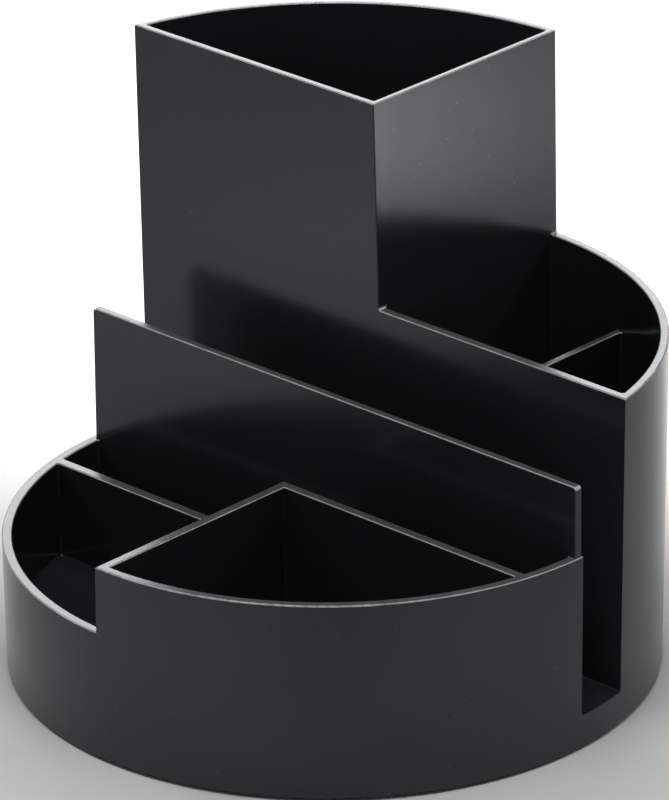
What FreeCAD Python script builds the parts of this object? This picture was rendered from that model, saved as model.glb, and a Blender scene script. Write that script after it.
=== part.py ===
"""Round desk organizer: a moulded drum with seven open compartments, standing on four rubber feet.

Millimetres. +Z is up, z = 0 is the desk and the Z axis is the drum's axis. The letter slot runs along X,
the tall cup is at the back left (-X, +Y), and the low tray and the front cup are at the front (-Y).

The drum is one moulding. It is shaped whole, so that its rims and corners run on smoothly, and is then
divided into its members: base ring, floor, outer walls, slot walls and dividers.
"""

import FreeCAD, Part
import math
import os

# The drum. Heights are above the base ring's lower edge.
tall_top = 125.0
rear_top = 77.0
panel_top = 62.3  # the slot's front panel, and the divider in the rear cup
front_top = 45.8
tray_top = 30.2
floor_top = 7.7
floor_bottom = 5.5
base_radius = 72.3
outer_lean = 0.0121  # outer radius gained for each millimetre of height
base_wall = 2.4  # outer wall thickness at the base
wall_thinning = 0.0063  # outer wall thickness lost for each millimetre of height
skirt_wall = 2.2

# Flat walls. Each face is placed at its rim and leans for each millimetre below it.
half_degree = math.tan(math.radians(0.5))
quarter_degree = math.tan(math.radians(0.25))
slot_back = 14.5
cup_front_inner = 16.2  # inner face of the wall between the slot and the two rear cups
tall_side_inner, tall_side_outer, tall_side_lean = -1.7, -0.31, 0.0213
panel_front, panel_back = -2.05, -0.16
panel_left_end, panel_right_end = -71.2, 72.4
shelf_back, shelf_front = -14.8, -17.0  # the wall behind the left tray and the front cup
front_side_left, front_side_right, front_side_lean = -0.62, 1.57, 0.0253
divider_left, divider_right = 24.2, 25.8

# Roundings
root_radius = 0.5  # inside corners of the compartments
rim_radius = 0.3
step_radius = 0.6  # where the rear cup's rim runs into the tall cup
panel_corner = 1.0
base_edge = 0.5

# Rubber feet, and the sockets under the floor that hold them
foot_lift = 0.5  # how far the feet hold the base ring off the desk
foot_circle = 57.0
foot_radius = 5.0
foot_top = 2.5
foot_edge = 0.4
socket_radius = 7.0
socket_bottom = 1.0

# Where the moulding is divided. The outer wall's seams are in degrees round the drum from +X.
root_gap = 1.2  # from a flat wall's foot to the cut that ends its neighbour
wall_foot = 8.4  # top of the floor member, just over its rounded corners
cross_end = 66.5  # x at the right-hand ends of the walls along X
centre_end = 68.5  # from the axis to the outer ends of the tall cup's and the front cup's side walls
divider_end = 64.0
flare_radius = 68.4  # where the panel's cuts turn to run along the drum's radii
right_slot_end, rear_seam, left_slot_end = 5.0, 87.2, 174.0
left_shelf_seam, front_seam, right_shelf_seam = 195.5, 267.5, 344.5

far = 200.0  # beyond the drum on every side
tiny = 0.01


def vec(x, y, z):
    return FreeCAD.Vector(x, y, z)


def leaning(at_rim, rim, lean):
    """Where a flat wall's face is at height z. It moves by lean for each millimetre below the rim."""
    return lambda z: at_rim + lean * (rim - z)


cup_front_face = leaning(cup_front_inner, tall_top, half_degree)
tall_side_inner_face = leaning(tall_side_inner, tall_top, -quarter_degree)
tall_side_outer_face = leaning(tall_side_outer, tall_top, tall_side_lean)
panel_front_face = leaning(panel_front, panel_top, -quarter_degree)
panel_back_face = leaning(panel_back, panel_top, quarter_degree)
shelf_back_face = leaning(shelf_back, front_top, half_degree)
shelf_front_face = leaning(shelf_front, front_top, -half_degree)
front_left_face = leaning(front_side_left, front_top, -front_side_lean)
front_right_face = leaning(front_side_right, front_top, half_degree)
divider_left_face = leaning(divider_left, panel_top, -half_degree)
divider_right_face = leaning(divider_right, panel_top, half_degree)
slot_middle = (slot_back + panel_back) / 2


def outer_radius(z):
    return base_radius + outer_lean * z


def inner_radius(z):
    return outer_radius(z) - base_wall + wall_thinning * z


def drum(radius_at, z_low, z_high):
    return Part.makeCone(radius_at(z_low), radius_at(z_high), z_high - z_low, vec(0, 0, z_low))


def position(limit, z):
    return limit(z) if callable(limit) else limit


def block(x_low, x_high, y_low, y_high, z_low, z_high):
    """A six-sided solid. Each limit in x or y is a number, or a leaning face."""
    rings = []
    for z in (z_low, z_high):
        left, right = position(x_low, z), position(x_high, z)
        front, back = position(y_low, z), position(y_high, z)
        rings.append([vec(left, front, z), vec(right, front, z), vec(right, back, z), vec(left, back, z)])
    low, high = rings
    sides = [[low[i - 1], low[i], high[i], high[i - 1]] for i in range(4)]
    faces = [Part.Face(Part.makePolygon(ring + ring[:1])) for ring in [low[::-1], high] + sides]
    return Part.makeSolid(Part.makeShell(faces))


def lies_at(edge, z):
    box = edge.BoundBox
    return abs(box.ZMin - z) < tiny and abs(box.ZMax - z) < tiny


def compartment(x_low, x_high, y_low, y_high, divider=None, sharp_from=far):
    """The space of one compartment, open at the top. Corners beyond x = sharp_from are not rounded."""
    outline = block(x_low, x_high, y_low, y_high, 0, far)
    space = drum(inner_radius, floor_top, tall_top + 1).common(outline)
    if divider:
        space = space.cut(divider)
    corners = [e for e in space.Edges if e.BoundBox.ZMin < floor_top + 1]
    return space.makeFillet(root_radius, [e for e in corners if e.CenterOfMass.x < sharp_from])


def rear_cup_space():
    """The rear cup on both sides of its divider."""
    divider = block(divider_left_face, divider_right_face, 0, far, 0, panel_top)
    return compartment(tall_side_outer_face, far, cup_front_face, far, divider)


def letter_slot_space():
    slot = block(-far, far, panel_back_face, slot_back, floor_top, far)
    return slot.makeFillet(root_radius, [e for e in slot.Edges if lies_at(e, floor_top) and along_x(e)])


def along_x(edge):
    return edge.BoundBox.YLength < tiny and edge.BoundBox.ZLength < tiny


def space_beside_tall_cup():
    """The space above the rear cup's rim. Its lower edge at the tall cup is rounded."""
    space = block(tall_side_outer_face, far, slot_middle, far, rear_top, far)
    low_edges = [e for e in space.Edges if lies_at(e, rear_top)]
    edge_at_cup = [e for e in low_edges if e.BoundBox.XMax < tall_side_outer_face(0)]
    return space.makeFillet(step_radius, edge_at_cup)


def stepped_drum():
    """The solid drum, cut down to each part's rim height."""
    body = drum(outer_radius, 0, tall_top)
    body = body.makeFillet(base_edge, [e for e in body.Edges if lies_at(e, 0)])
    return body.cut([
        space_beside_tall_cup(),
        block(-far, far, -far, slot_middle, panel_top, far),
        block(-far, far, -far, panel_front_face, front_top, far),
        block(-far, front_left_face, -far, panel_front_face, tray_top, far),
        block(-far, panel_left_end, -far, slot_middle, tray_top, far),
        block(panel_right_end, far, -far, slot_middle, front_top, far),
    ]).removeSplitter()


def open_drum():
    """The drum with its seven compartments, and hollow under the floor."""
    return stepped_drum().cut([
        compartment(-far, tall_side_inner_face, cup_front_face, far),
        rear_cup_space(),
        letter_slot_space(),
        compartment(-far, far, shelf_back_face, panel_front_face),
        compartment(-far, front_left_face, -far, shelf_front_face, sharp_from=front_left_face(0)),
        compartment(front_right_face, far, -far, shelf_front_face),
        Part.makeCylinder(base_radius - skirt_wall, far + floor_bottom, vec(0, 0, -far)),
    ])


def panel_corner_edges(body):
    """The two short edges where the slot front panel's top meets its ends."""
    ends = (panel_left_end, panel_right_end)
    top_edges = [e for e in body.Edges if lies_at(e, panel_top) and e.BoundBox.XLength < tiny]
    return [e for e in top_edges if min(abs(e.BoundBox.XMin - end) for end in ends) < tiny]


def has_wall_above(body, edge):
    """True where an edge at a rim's height runs along the foot of a taller wall."""
    middle = edge.valueAt((edge.FirstParameter + edge.LastParameter) / 2)
    reach, directions = 0.1, 8
    for count in range(directions):
        angle = 2 * math.pi * count / directions
        beside = middle + vec(reach * math.cos(angle), reach * math.sin(angle), reach / 2)
        if body.isInside(beside, tiny / 100, False):
            return True
    return False


def rim_edges(body):
    rims = (tray_top, front_top, panel_top, rear_top, tall_top)
    level_edges = [e for e in body.Edges if any(lies_at(e, rim) for rim in rims)]
    return [e for e in level_edges if not has_wall_above(body, e)]


def moulding():
    """The drum in one piece, with its rims rounded."""
    body = open_drum()
    body = body.makeFillet(panel_corner, panel_corner_edges(body))
    return body.makeFillet(rim_radius, rim_edges(body))


def before(face):
    """The cut beside a flat wall's foot, on its -X or -Y side."""
    return face(0) - root_gap


def beyond(face):
    """The cut beside a flat wall's foot, on its +X or +Y side."""
    return face(0) + root_gap


def panel_region():
    """The space that holds the slot's front panel. Its front runs along the drum's radii at both ends."""
    front = before(panel_front_face)
    corner = vec(math.sqrt(flare_radius**2 - front**2), front, wall_foot)
    flared = vec(corner.x * far / flare_radius, corner.y * far / flare_radius, wall_foot)
    right = [corner, flared, vec(far, slot_middle, wall_foot)]
    left = [vec(-point.x, point.y, point.z) for point in reversed(right)]
    outline = Part.makePolygon(right + left + [corner])
    return Part.Face(outline).extrude(vec(0, 0, far))


def flat_wall_regions():
    """The space that holds each flat wall above the floor, by the wall's name."""
    behind_slot = beyond(cup_front_face)
    shelf_cuts = before(shelf_front_face), beyond(shelf_back_face)
    tall_side_cuts = before(tall_side_inner_face), beyond(tall_side_outer_face)
    divider_cuts = before(divider_left_face), beyond(divider_right_face)
    front_side_cuts = before(front_left_face), beyond(front_right_face)

    def wall(*limits):
        return block(*limits, wall_foot, far)

    return {
        "tall_cup_front_wall": wall(-cross_end, tall_side_cuts[1], slot_middle, behind_slot),
        "rear_cup_front_wall": wall(tall_side_cuts[1], cross_end, slot_middle, behind_slot),
        "slot_front_panel": panel_region(),
        "tall_cup_side_wall": wall(*tall_side_cuts, behind_slot, centre_end),
        "rear_cup_divider": wall(*divider_cuts, behind_slot, divider_end),
        "left_tray_back_wall": wall(-cross_end, front_side_cuts[0], *shelf_cuts),
        "front_cup_back_wall": wall(front_side_cuts[0], cross_end, *shelf_cuts),
        "front_cup_side_wall": wall(*front_side_cuts, -centre_end, shelf_cuts[0]),
    }


def outer_wall_regions(flat_walls):
    """The space that holds each stretch of the outer wall, between two of its seams, by its name."""

    def stretch(start, end):
        wedge = Part.makeCylinder(far, far, vec(0, 0, wall_foot), vec(0, 0, 1), end - start)
        wedge.rotate(vec(0, 0, 0), vec(0, 0, 1), start)
        return wedge.cut(list(flat_walls))

    return {
        "rear_cup_outer_wall": stretch(right_slot_end, rear_seam),
        "tall_cup_outer_wall": stretch(rear_seam, left_slot_end),
        "pen_channel_left_end": stretch(left_slot_end, left_shelf_seam),
        "left_tray_outer_wall": stretch(left_shelf_seam, front_seam),
        "front_cup_outer_wall": stretch(front_seam, right_shelf_seam),
        "pen_channel_right_end": stretch(right_shelf_seam, 360 + right_slot_end),
    }


def member_regions():
    """The space that holds each member of the moulding, by the member's name."""
    flat_walls = flat_wall_regions()
    return {
        "base_ring": block(-far, far, -far, far, 0, floor_bottom),
        "floor_plate": block(-far, far, -far, far, floor_bottom, wall_foot),
        **flat_walls,
        **outer_wall_regions(flat_walls.values()),
    }


def foot_socket(centre):
    """A moulded boss under the floor, with a round recess for one rubber foot."""
    height = floor_bottom - socket_bottom
    boss = Part.makeCylinder(socket_radius, height, centre + vec(0, 0, socket_bottom))
    return boss.cut(Part.makeCylinder(foot_radius, foot_top, centre))


def rubber_foot(centre):
    foot = Part.makeCylinder(foot_radius, foot_lift + foot_top, centre - vec(0, 0, foot_lift))
    return foot.makeFillet(foot_edge, [e for e in foot.Edges if lies_at(e, -foot_lift)])


def members():
    """Every solid of the organizer, by the name of its node."""
    body = moulding()
    solids = {name: body.common(region) for name, region in member_regions().items()}
    for count in range(4):
        angle = math.radians(45 + 90 * count)
        centre = vec(foot_circle * math.cos(angle), foot_circle * math.sin(angle), 0)
        solids[f"foot_socket_{count + 1}"] = foot_socket(centre)
        solids[f"rubber_foot_{count + 1}"] = rubber_foot(centre)
    return solids


os.makedirs("parts", exist_ok=True)
for name, solid in members().items():
    solid.translate(vec(0, 0, foot_lift))
    solid.exportStep(f"parts/{name}.step")
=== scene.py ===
"""The looks of the round desk organizer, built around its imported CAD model. Metres throughout.

The drum's own nodes are shown. This script gives them the glossy black of moulded polystyrene and its finest
surface detail, gives the feet their rubber, and sets up the floor, the light and the camera.
"""

import math

import bpy
from mathutils import Matrix, Vector

MM = 0.001
OUTER_LEAN = 0.0121  # outer radius gained for each unit of height

# Camera
AZIMUTH = math.radians(43.362)
ELEVATION = math.radians(24.217)
ROLL = math.radians(-0.703)
LENS = 315.5
SENSOR = 36.0
DISTANCE = 1.5248
AIM = Vector((0, 0, 60.5 * MM))
AIM_RIGHT = 0.6186 * MM
AIM_UP = 0.2436 * MM

# Studio
WORLD_STRENGTH = 0.15
FLOOR_SIZE = 12.0
LAMP_HEIGHT = 1.0
LAMP_RADIUS = 0.05

# The outer wall lies beyond this distance from the axis, where the mesh's normal is this near the cone's own,
# as a cosine.
WALL_DISTANCE = 71 * MM
WALL_COSINE = 0.998

# Upward faces count as rims above the raised floor: not at all at the first height, fully at the second.
RIM_HEIGHTS = (12 * MM, 14 * MM)

# Colours, from darkest to lightest where there are two
BLACKS = ((0.023, 0.0232, 0.0268), (0.033, 0.0332, 0.0374))
DUST = (0.34, 0.33, 0.31)
# Painted sheen: the grey that upward rim faces are lightened to, as if they caught the light
PAINTED_RIM_SHEEN = (0.125, 0.125, 0.128)
# Painted highlight: the near-white that the rounded upward rim edges are lightened to
PAINTED_EDGE_HIGHLIGHT = (0.78, 0.78, 0.8)
RUBBERS = ((0.018, 0.018, 0.018), (0.045, 0.044, 0.042))
PAPERS = ((0.86, 0.86, 0.86), (0.89, 0.89, 0.89))

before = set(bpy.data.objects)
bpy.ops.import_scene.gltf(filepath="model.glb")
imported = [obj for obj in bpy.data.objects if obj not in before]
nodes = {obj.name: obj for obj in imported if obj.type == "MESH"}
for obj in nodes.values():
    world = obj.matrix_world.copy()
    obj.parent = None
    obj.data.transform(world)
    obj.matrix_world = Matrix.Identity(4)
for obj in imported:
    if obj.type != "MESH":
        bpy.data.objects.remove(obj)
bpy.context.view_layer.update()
rubber_nodes = [node for name, node in nodes.items() if name.startswith("rubber_foot")]
plastic_nodes = [node for node in nodes.values() if node not in rubber_nodes]


class Shader:
    """A material's node tree, with short calls for the nodes that the materials are made of."""

    def __init__(self, name):
        self.material = bpy.data.materials.new(name)
        self.material.use_nodes = True
        self.tree = self.material.node_tree
        self.bsdf = self.tree.nodes["Principled BSDF"]
        self.coordinates = self.node("ShaderNodeTexCoord").outputs

    def node(self, kind, **settings):
        made = self.tree.nodes.new(kind)
        for name, value in settings.items():
            setattr(made, name, value)
        return made

    def link(self, source, target):
        self.tree.links.new(source, target)

    def noise(self, scale, detail=3.0, roughness=0.5, stretch=(1, 1, 1)):
        made = self.node("ShaderNodeTexNoise")
        made.inputs["Scale"].default_value = scale
        made.inputs["Detail"].default_value = detail
        made.inputs["Roughness"].default_value = roughness
        self.link(self.stretched(stretch), made.inputs["Vector"])
        return made.outputs["Fac"]

    def stretched(self, stretch):
        made = self.node("ShaderNodeMapping")
        made.inputs["Scale"].default_value = stretch
        self.link(self.coordinates["Object"], made.inputs["Vector"])
        return made.outputs["Vector"]

    def along(self, coordinates, axis):
        made = self.node("ShaderNodeSeparateXYZ")
        self.link(self.coordinates[coordinates], made.inputs["Vector"])
        return made.outputs[axis]

    def spots(self, scale, size):
        """1 inside small round spots, falling to 0 at their edges."""
        cells = self.node("ShaderNodeTexVoronoi")
        cells.inputs["Scale"].default_value = scale
        self.link(self.coordinates["Object"], cells.inputs["Vector"])
        return self.remap(cells.outputs["Distance"], size, 0.0, 0.0, 1.0)

    def remap(self, source, low, high, to_low, to_high):
        made = self.node("ShaderNodeMapRange")
        self.link(source, made.inputs["Value"])
        for name, value in (("From Min", low), ("From Max", high), ("To Min", to_low), ("To Max", to_high)):
            made.inputs[name].default_value = value
        return made.outputs["Result"]

    def math(self, operation, a, b):
        made = self.node("ShaderNodeMath", operation=operation)
        for socket, value in zip(made.inputs, (a, b)):
            if isinstance(value, (int, float)):
                socket.default_value = value
            else:
                self.link(value, socket)
        return made.outputs["Value"]

    def colour(self, factor, low, high):
        """From low to high by the factor. Low is a colour or the output of another node."""
        made = self.node("ShaderNodeMix", data_type="RGBA")
        self.link(factor, made.inputs["Factor"])
        if isinstance(low, tuple):
            made.inputs["A"].default_value = (*low, 1)
        else:
            self.link(low, made.inputs["A"])
        made.inputs["B"].default_value = (*high, 1)
        return made.outputs["Result"]

    def vector(self, operation, *sources):
        made = self.node("ShaderNodeVectorMath", operation=operation)
        for socket, source in zip(made.inputs, sources):
            if isinstance(source, tuple):
                socket.default_value = source
            else:
                self.link(source, socket)
        return made.outputs["Value" if operation in ("LENGTH", "DOT_PRODUCT") else "Vector"]

    def smooth_normal(self):
        """The mesh's normal, or on the drum's outer wall the cone's own, which runs on from node to node."""
        flat = self.vector("MULTIPLY", self.coordinates["Object"], (1, 1, 0))
        sloped = self.vector("ADD", self.vector("NORMALIZE", flat), (0, 0, -OUTER_LEAN))
        cone = self.vector("NORMALIZE", sloped)
        mesh = self.node("ShaderNodeNewGeometry").outputs["Normal"]
        at_wall = self.math("GREATER_THAN", self.vector("LENGTH", flat), WALL_DISTANCE)
        facing_out = self.math("GREATER_THAN", self.vector("DOT_PRODUCT", cone, mesh), WALL_COSINE)
        made = self.node("ShaderNodeMix", data_type="VECTOR")
        self.link(self.math("MULTIPLY", at_wall, facing_out), made.inputs["Factor"])
        self.link(mesh, made.inputs["A"])
        self.link(cone, made.inputs["B"])
        return made.outputs["Result"]

    def bump(self, height, distance, normal=None):
        made = self.node("ShaderNodeBump")
        made.inputs["Distance"].default_value = distance
        self.link(height, made.inputs["Height"])
        if normal:
            self.link(normal, made.inputs["Normal"])
        return made.outputs["Normal"]


def moulded_plastic():
    """Black polystyrene from a polished mould.

    It is glossy and faintly rippled, with haze and a little dust. Its rims are duller, and painted highlights
    lighten the upward rim faces and their rounded edges.
    """
    shader = Shader("moulded_plastic")
    ripple = shader.noise(55, detail=2)
    grain = shader.noise(2600, detail=2)
    haze = shader.noise(38, detail=5, roughness=0.6, stretch=(1, 1, 0.45))
    painted_highlight_breakup = shader.noise(240, detail=4)
    dust = shader.math("MULTIPLY", shader.spots(520, 0.12), shader.remap(shader.noise(160), 0.5, 0.64, 0, 1))
    above_floor = shader.remap(shader.along("Object", "Z"), *RIM_HEIGHTS, 0, 1)
    facing_up = shader.along("Normal", "Z")
    rim = shader.math("MULTIPLY", above_floor, shader.remap(facing_up, 0.1, 0.5, 0, 1))
    edge = shader.math("MULTIPLY", rim, shader.remap(facing_up, 0.78, 0.97, 1, 0))

    black = shader.colour(haze, *BLACKS)
    dusty = shader.colour(shader.math("MULTIPLY", dust, 0.12), black, DUST)
    # Painted sheen: upward faces above the floor are lightened toward a grey, broken up by noise
    painted_rim_sheen = shader.math("MULTIPLY", rim, shader.remap(painted_highlight_breakup, 0.35, 0.65, 0.7, 1))
    with_painted_rim_sheen = shader.colour(painted_rim_sheen, dusty, PAINTED_RIM_SHEEN)
    # Painted highlight: rounded edges of upward rim faces are lightened almost to white, broken up by noise
    painted_edge_highlight = shader.math("MULTIPLY", edge, shader.remap(painted_highlight_breakup, 0.35, 0.65, 0.6, 1))
    shader.link(shader.colour(painted_edge_highlight, with_painted_rim_sheen, PAINTED_EDGE_HIGHLIGHT), shader.bsdf.inputs["Base Color"])

    gloss = shader.remap(haze, 0.3, 0.7, 0.15, 0.21)
    dulled = shader.math("ADD", gloss, shader.math("MULTIPLY", rim, 0.05))
    dusted = shader.math("ADD", dulled, shader.math("MULTIPLY", dust, 0.3))
    shader.link(dusted, shader.bsdf.inputs["Roughness"])
    shader.bsdf.inputs["IOR"].default_value = 1.5
    shader.bsdf.inputs["Specular Tint"].default_value = (0.92, 0.94, 1, 1)
    rippled = shader.bump(ripple, 0.02 * MM, shader.smooth_normal())
    shader.link(shader.bump(grain, 0.0012 * MM, rippled), shader.bsdf.inputs["Normal"])
    return shader.material


def foot_rubber():
    """Dull black rubber with a fine grain and paler blotches."""
    shader = Shader("foot_rubber")
    grain = shader.noise(1400, detail=4)
    blotches = shader.noise(180, detail=3)
    shader.link(shader.colour(blotches, *RUBBERS), shader.bsdf.inputs["Base Color"])
    shader.link(shader.remap(grain, 0.3, 0.7, 0.6, 0.85), shader.bsdf.inputs["Roughness"])
    shader.link(shader.bump(grain, 0.03 * MM), shader.bsdf.inputs["Normal"])
    return shader.material


def finish_nodes(finished_nodes, material):
    for node in finished_nodes:
        node.data.materials.clear()
        node.data.materials.append(material)


def floor():
    bpy.ops.mesh.primitive_plane_add(size=FLOOR_SIZE)
    plane = bpy.context.object
    plane.name = "floor"
    shader = Shader("floor_paper")
    shader.link(shader.colour(shader.noise(40), *PAPERS), shader.bsdf.inputs["Base Color"])
    shader.bsdf.inputs["Roughness"].default_value = 0.9
    shader.bsdf.inputs["Specular IOR Level"].default_value = 0.1
    plane.data.materials.append(shader.material)


def softbox(name, place, target, width, height, radiance):
    """A rectangular light at place that faces target. Radiance is what a mirror would show of it."""
    light = bpy.data.lights.new(name, "AREA")
    light.shape = "RECTANGLE"
    light.size, light.size_y = width, height
    light.energy = radiance * math.pi * width * height
    lamp = bpy.data.objects.new(name, light)
    lamp.location = place
    lamp.rotation_euler = (Vector(place) - Vector(target)).to_track_quat("Z", "Y").to_euler()
    bpy.context.scene.collection.objects.link(lamp)


def paper_lamp(name, target, spread, power):
    """A lamp high over the paper that brightens a round patch of it.

    The patch is spread degrees wide and soft to its edge. The drum's glossy walls mirror it.
    """
    light = bpy.data.lights.new(name, "SPOT")
    light.spot_size = math.radians(spread)
    light.spot_blend = 1.0
    light.shadow_soft_size = LAMP_RADIUS
    light.energy = power
    lamp = bpy.data.objects.new(name, light)
    lamp.location = Vector(target) + Vector((0, 0, LAMP_HEIGHT))
    bpy.context.scene.collection.objects.link(lamp)


def studio():
    scene = bpy.context.scene
    scene.view_settings.view_transform = "Standard"
    scene.world = bpy.data.worlds.new("studio")
    scene.world.use_nodes = True
    background = scene.world.node_tree.nodes["Background"]
    background.inputs["Color"].default_value = (1, 1, 1, 1)
    background.inputs["Strength"].default_value = WORLD_STRENGTH
    floor()
    softbox("overhead", (0.14, -0.18, 0.88), (0, 0, 0), 0.4, 0.4, 3.8)
    softbox("backdrop", (-1.1, 1.15, 0.8), (0, 0, 0.1), 1.2, 0.5, 5.4)
    softbox("left", (-0.95, -0.2, 0.85), (0, 0, 0.05), 0.3, 0.3, 6.0)
    softbox("right_back", (0.55, 0.85, 0.8), (0, 0, 0.05), 0.25, 0.25, 6.0)
    paper_lamp("right_near_lamp", (0.252, 0.222, 0), 9.5, 165)
    paper_lamp("right_far_lamp", (0.251, 0.291, 0), 14, 34)
    paper_lamp("left_lamp", (-0.150, -0.162, 0), 10, 14)
    paper_lamp("background_lamp", (-0.182, 0.193, 0), 28, 56)
    paper_lamp("left_corner_lamp", (0.021, -0.117, 0), 8, 9)
    paper_lamp("right_corner_lamp", (0.116, -0.035, 0), 8, 9)


def camera():
    back = Vector((
        math.sin(AZIMUTH) * math.cos(ELEVATION),
        -math.cos(AZIMUTH) * math.cos(ELEVATION),
        math.sin(ELEVATION),
    ))
    right = Vector((math.cos(AZIMUTH), math.sin(AZIMUTH), 0))
    up = back.cross(right)
    data = bpy.data.cameras.new("camera")
    data.lens = LENS
    data.sensor_width = SENSOR
    made = bpy.data.objects.new("camera", data)
    turn = Matrix((right, up, back)).transposed() @ Matrix.Rotation(ROLL, 3, "Z")
    place = AIM + AIM_RIGHT * right + AIM_UP * up + DISTANCE * back
    made.matrix_world = Matrix.Translation(place) @ turn.to_4x4()
    bpy.context.scene.collection.objects.link(made)
    bpy.context.scene.camera = made


finish_nodes(plastic_nodes, moulded_plastic())
finish_nodes(rubber_nodes, foot_rubber())
studio()
camera()
